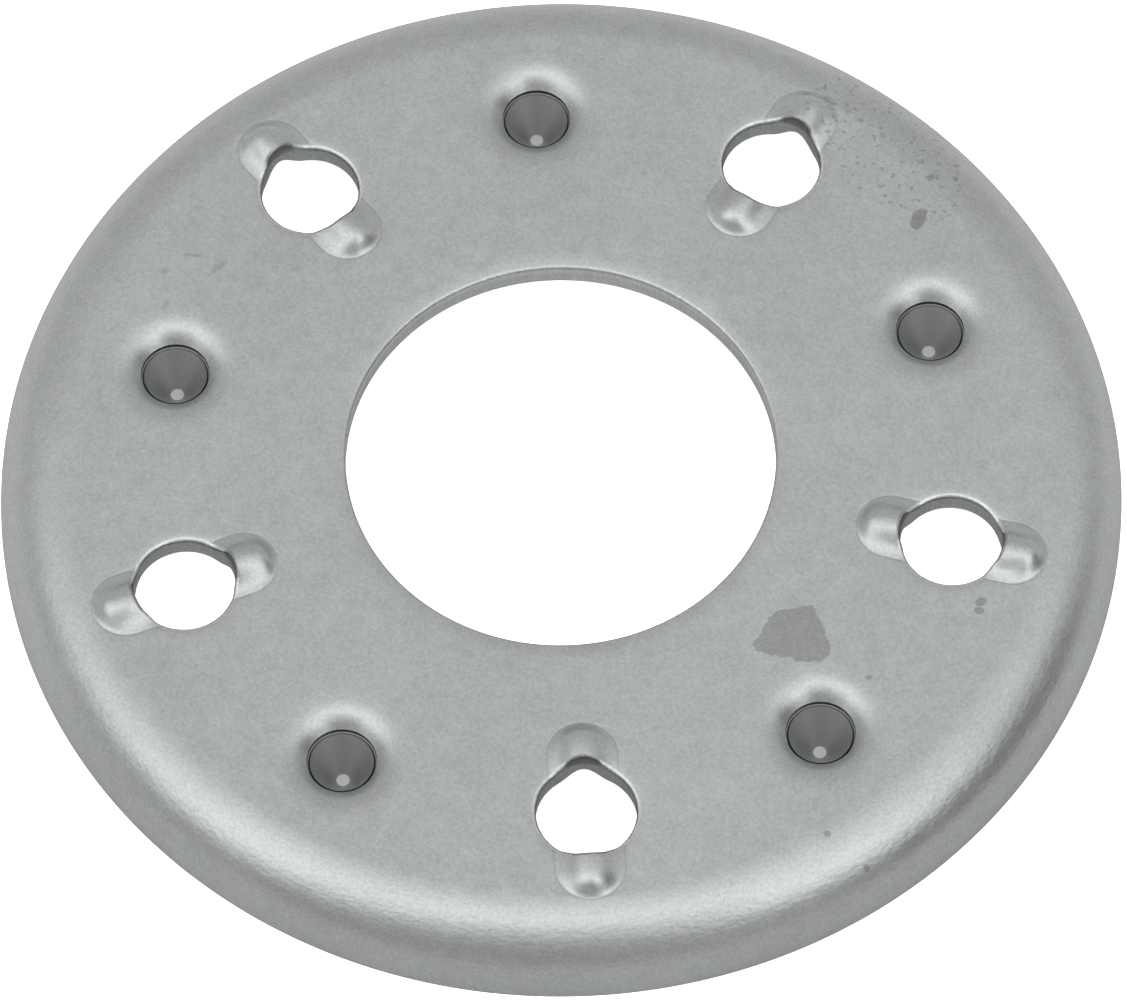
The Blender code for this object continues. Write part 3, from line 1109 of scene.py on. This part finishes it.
def marked(graph, level, place):
    """The level with the specks, the stain and the spots, which are on the outer skin only."""
    specks = graph.window(graph.noise(place, *SPECK), SPECK_START, SPECK_FULL)
    specks = graph.math("MULTIPLY", specks, spot(graph, place, *SPECK_REGION))
    marks = [(specks, SPECK_DEPTH), (patch(graph, place, STAIN), STAIN_DEPTH)]
    for centre, size, angle, depth, softness in SPOTS:
        marks.append((spot(graph, place, centre, size, angle, SPOT_RAGGED, size[0], softness), depth))
    outer_skin = graph.attribute("outer_skin", "Fac")
    for mask, depth in marks:
        level = graph.scaled(level, graph.math("MULTIPLY", mask, outer_skin), -depth)
    return level


def shaded(graph, level, place):
    """The level with painted light and shade on the cut walls near the top, darker round the necks' mouths,
    and with painted shade along the creases.
    """
    near_top = graph.window(graph.separate(place)[2], (TOP - SHADE_END) * MM, (TOP - SHADE_FULL) * MM)
    # Painted light and shade that the walls carry in their shade attribute, fading out deep down
    shade = graph.math("MULTIPLY", graph.attribute("shade", "Fac"), near_top)
    level = graph.math("MULTIPLY", level, graph.math("SUBTRACT", 1.0, shade))
    # Darker round each neck's mouth
    level = graph.scaled(level, graph.attribute("halo", "Fac"), -HALO_SHADE)
    # Painted shade along the creases
    return graph.scaled(level, graph.attribute("crease", "Fac"), -CREASE_SHADE)


def steel_material():
    """Satin pressed steel: grainy on the flat, wrinkled on the rim and streaked on the cut walls."""
    material, graph = new_material("pressed_steel")
    place = graph.node("ShaderNodeTexCoord").outputs["Object"]
    wall = graph.attribute("wall", "Fac")
    unrolled = graph.attribute("unrolled")
    s = graph.separate(unrolled)[2]

    mottle = graph.noise(place, *MOTTLE)
    grain = graph.noise(place, *GRAIN)
    level = graph.varied(STEEL_LEVEL, graph.noise(place, *CLOUD), CLOUD_DEPTH)
    level = graph.varied(level, mottle, MOTTLE_DEPTH)
    level = graph.varied(level, grain, GRAIN_DEPTH)
    level = marked(graph, level, place)
    level = shaded(graph, level, place)
    striation = graph.noise(graph.vector("MULTIPLY", place, STRIATION_STRETCH), *STRIATION)
    streaks = graph.math("MULTIPLY", wall, graph.math("SUBTRACT", striation, 0.5))
    level = graph.scaled(level, streaks, STRIATION_DEPTH)

    wrinkle = graph.noise(graph.vector("MULTIPLY", unrolled, WRINKLE_STRETCH), *WRINKLE)
    on_rim = graph.window(s, WRINKLE_START * MM, WRINKLE_FULL * MM)
    normal = graph.bump(grain, GRAIN_BUMP)
    normal = graph.bump(wrinkle, WRINKLE_BUMP, normal, on_rim)
    normal = graph.bump(striation, STRIATION_BUMP, normal, wall)
    roughness = graph.varied(STEEL_ROUGHNESS, mottle, MOTTLE_ROUGHNESS)
    finish_metal(graph, level, STEEL_TINT, roughness, normal)
    return material


def cup_material():
    """Dark turned steel with fine grooves, a painted highlight on its flat tip and painted shade on its rim.
    """
    material, graph = new_material("turned_cup_steel")
    turned = graph.attribute("turned")
    x, y, z = graph.separate(turned)
    radius = graph.vector("LENGTH", graph.combine(x, y, 0.0))
    grooves = graph.noise(graph.combine(radius, z, 0.0), *CUP_GROOVES)
    level = graph.varied(CUP_LEVEL, graph.noise(turned, *CUP_GRAIN), CUP_GRAIN_DEPTH)
    # Painted highlight on the flat floor at the tip
    tip = graph.window(radius, CUP_FLOOR_RADIUS * MM, (CUP_FLOOR_RADIUS - CUP_TIP_SOFTNESS) * MM)
    level = graph.math("MULTIPLY_ADD", tip, CUP_TIP_PAINTED_HIGHLIGHT, level)
    level = graph.varied(level, grooves, CUP_GROOVE_DEPTH)
    # Painted shade on the rim
    rim_end = (CUP_RIM_SHADE_RADIUS + CUP_RIM_SOFTNESS) * MM
    level = graph.scaled(level, graph.window(radius, CUP_RIM_SHADE_RADIUS * MM, rim_end), -CUP_RIM_PAINTED_SHADE)
    finish_metal(graph, level, CUP_TINT, CUP_ROUGHNESS, graph.bump(grooves, CUP_GROOVE_BUMP))
    return material


# ---------------------------------------------------------------- stage


def build_floor():
    """A pale floor: bright to the camera, mid grey in the steel's reflections, with painted shade on its
    front there.
    """
    material, graph = new_material("pale_floor")
    path = graph.node("ShaderNodeLightPath")
    glow = graph.node("ShaderNodeEmission")
    graph.feed(glow.inputs["Strength"], FLOOR_GLOW)
    matt = graph.node("ShaderNodeBsdfDiffuse")
    graph.feed(matt.inputs["Color"], (FLOOR_TO_CAMERA, FLOOR_TO_CAMERA, FLOOR_TO_CAMERA, 1.0))
    seen = graph.filled(graph.node("ShaderNodeAddShader"), (glow.outputs[0], matt.outputs[0]))
    reflected = graph.node("ShaderNodeBsdfDiffuse")
    place = graph.node("ShaderNodeTexCoord").outputs["Object"]
    # Painted shade on the front of the floor, for reflections only
    front = graph.window(graph.separate(place)[1], 0.0, FLOOR_FRONT, 0.0, FLOOR_FRONT_PAINTED_SHADE)
    albedo = graph.math("SUBTRACT", FLOOR_TO_STEEL, front)
    graph.feed(reflected.inputs["Color"], graph.combine(albedo, albedo, albedo))
    choice = graph.node("ShaderNodeMixShader")
    graph.filled(choice, (path.outputs["Is Camera Ray"], reflected.outputs[0], seen.outputs[0]))
    graph.finish("ShaderNodeOutputMaterial", choice)

    bpy.ops.mesh.primitive_grid_add(size=FLOOR_SIZE, x_subdivisions=2, y_subdivisions=2)
    floor = bpy.context.active_object
    floor.name = "floor"
    floor.location = (0.0, 0.0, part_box(RING_NODE)[0].z)
    floor.data.materials.append(material)


def reflected_light(graph):
    """What the steel sees: a soft white canopy overhead and in front, a dimmer room behind and low
    down, and the shade of the camera in the middle of the front."""
    direction = graph.node("ShaderNodeTexCoord").outputs["Generated"]
    x, y, z = graph.separate(direction)
    room = graph.window(y, *ROOM_TURN, ROOM_FRONT, ROOM_BACK)
    side = graph.math("MULTIPLY", graph.window(x, *SIDE_START), graph.window(y, *SIDE_BACK))
    room = graph.scaled(room, side, -SIDE_SHADE)
    height = graph.math("MULTIPLY_ADD", graph.window(y, *RISE_FRONT), -CANOPY_RISE, z)
    canopy = graph.math("MULTIPLY", graph.window(y, *CANOPY_BACK), graph.window(height, *CANOPY_EDGE))
    front = graph.window(y, *CANOPY_FRONT_TURN, 0.0, CANOPY_FRONT)
    strength = graph.math("MULTIPLY_ADD", x, -CANOPY_LEFT, graph.math("ADD", front, CANOPY_LEVEL))
    beside = graph.math("ABSOLUTE", graph.math("ADD", x, CAMERA_LEFT))
    shade = graph.math("MULTIPLY", graph.window(beside, *CAMERA_SIDES), graph.window(y, *CAMERA_TOP))
    canopy = graph.scaled(canopy, shade, -CAMERA_SHADE)
    room = graph.scaled(room, shade, -ROOM_SHADE)
    return graph.math("MULTIPLY_ADD", canopy, strength, room)


def build_world():
    """A pale backdrop to the camera, and a soft studio in the steel's reflections."""
    world = bpy.data.worlds.new("studio")
    world.use_nodes = True
    bpy.context.scene.world = world
    graph = Graph(world.node_tree)
    light = reflected_light(graph)
    path = graph.node("ShaderNodeLightPath")
    level = graph.node("ShaderNodeMix")
    graph.feed(level.inputs[0], path.outputs["Is Camera Ray"])
    graph.feed(level.inputs[2], light)
    graph.feed(level.inputs[3], BACKDROP)
    shader = graph.node("ShaderNodeBackground")
    graph.feed(shader.inputs["Color"], (1.0, 1.0, 1.0, 1.0))
    graph.feed(shader.inputs["Strength"], level.outputs[0])
    graph.finish("ShaderNodeOutputWorld", shader)


def build_camera():
    camera = bpy.data.objects.new("camera", bpy.data.cameras.new("camera"))
    bpy.context.scene.collection.objects.link(camera)
    camera.data.lens = CAMERA_LENS
    camera.data.sensor_width = CAMERA_SENSOR
    camera.data.shift_x, camera.data.shift_y = CAMERA_SHIFT
    camera.data.clip_start, camera.data.clip_end = CAMERA_CLIP
    azimuth = math.radians(CAMERA_AZIMUTH)
    elevation = math.radians(CAMERA_ELEVATION)
    level = math.cos(elevation)
    back = Vector((math.sin(azimuth) * level, -math.cos(azimuth) * level, math.sin(elevation)))
    camera.location = Vector((0.0, 0.0, TOP * MM)) + back * CAMERA_DISTANCE * MM
    heading = azimuth - math.radians(CAMERA_YAW)
    pitch = math.radians(90.0 - CAMERA_PITCH)
    roll = math.radians(CAMERA_ROLL)
    turn = Matrix.Rotation(heading, 3, "Z") @ Matrix.Rotation(pitch, 3, "X") @ Matrix.Rotation(roll, 3, "Z")
    camera.rotation_euler = turn.to_euler()
    bpy.context.scene.camera = camera


def main():
    bpy.context.scene.view_settings.view_transform = "Standard"
    build_ring(steel_material())
    cup_steel = cup_material()
    for node in CUP_NODES:
        build_cup(node, cup_steel)
    build_floor()
    build_world()
    build_camera()


main()
